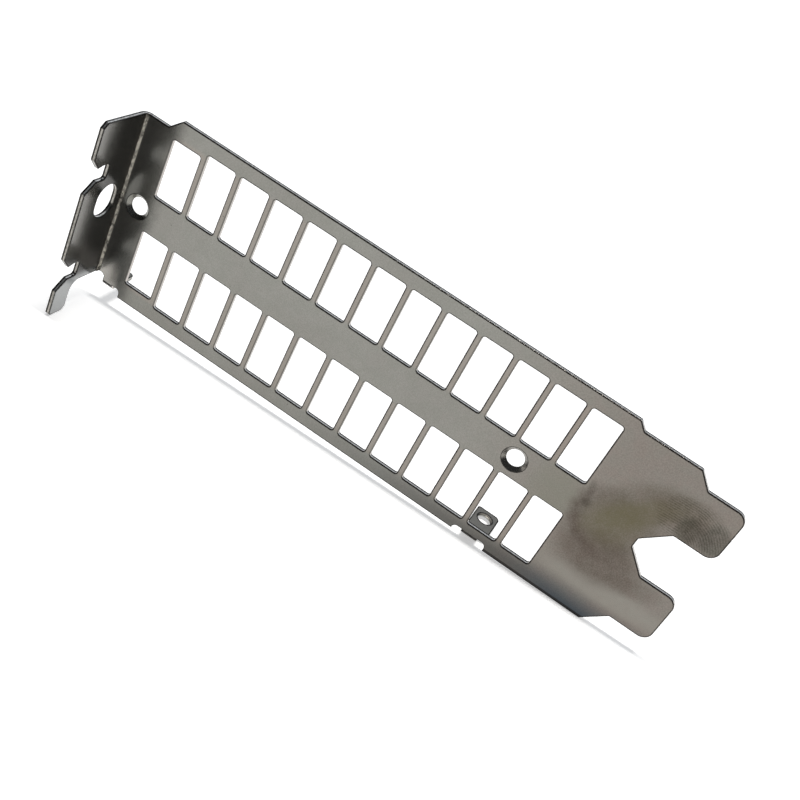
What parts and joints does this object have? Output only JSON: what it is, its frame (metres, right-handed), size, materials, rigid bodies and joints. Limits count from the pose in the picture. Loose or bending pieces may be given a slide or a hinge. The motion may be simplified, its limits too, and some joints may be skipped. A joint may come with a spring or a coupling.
{
  "type": "full height bracket",
  "caption": "Vented full height bracket for a two-slot expansion card, folded from one sheet with a screw tab, countersunk fixing holes and a tapped lug.",
  "frame": {"origin": "midway between the two countersunk fixing holes, on the plate's back face", "axes": "+X along the bracket from the folded tab towards the tongue tips; +Y through the sheet from the outer face to the back, the way the lugs point, with the tab pointing to -Y; +Z across the plate, away from the lugs"},
  "size_m": [0.12, 0.0208, 0.0418],
  "materials": {
    "nickel_plate": "satin nickel plate on sheet steel, with a fingerprint and a faint stain"
  },
  "bodies": {
    "root": {"bracket": "nickel_plate"}
  },
  "joints": []
}
